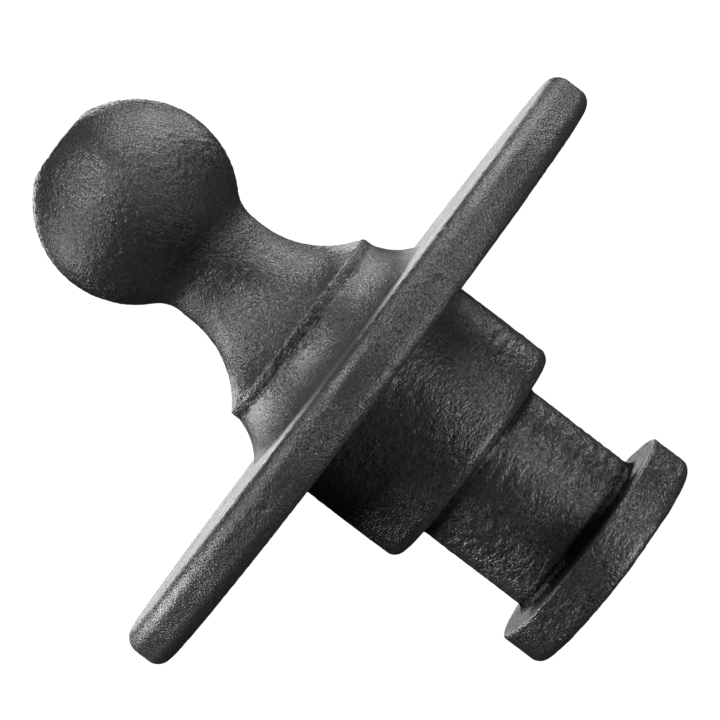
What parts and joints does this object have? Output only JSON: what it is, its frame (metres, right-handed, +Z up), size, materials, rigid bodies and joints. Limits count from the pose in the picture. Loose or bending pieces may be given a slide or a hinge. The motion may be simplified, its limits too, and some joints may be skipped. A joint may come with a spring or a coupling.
{
  "type": "gooseneck hitch ball",
  "caption": "Gooseneck hitch ball on a flared neck, standing on a round plate with a fifth-wheel kingpin below, so a gooseneck coupler can ride on a fifth-wheel hitch.",
  "frame": {"origin": "middle of the plate's underside, the face that rides on the fifth wheel, on the common axis", "axes": "+Z up along the axis from kingpin to ball; -Z is the way the thrust face looks; +X and +Y are free, because the solids are round about the axis; the side with two small rim dents in the visual model faces -Y"},
  "size_m": [0.2032, 0.2032, 0.1986],
  "materials": {
    "ball_stud": "semi-gloss black coat over a rough forging",
    "thrust_plate": "semi-gloss black coat, fine orange peel",
    "kingpin": "semi-gloss black coat over a pitted, wrinkled surface",
    "ball_base_weld": "semi-gloss black coat over a smooth fillet weld",
    "bare_weld": "bare weld metal, hidden",
    "kingpin_seal_weld": "semi-gloss black coat over a weld dressed flush"
  },
  "bodies": {
    "root": {"ball_stud": "ball_stud", "thrust_plate": "thrust_plate", "kingpin": "kingpin", "ball_base_weld": "ball_base_weld", "kingpin_root_weld": "bare_weld", "kingpin_seal_weld": "kingpin_seal_weld"}
  },
  "joints": []
}
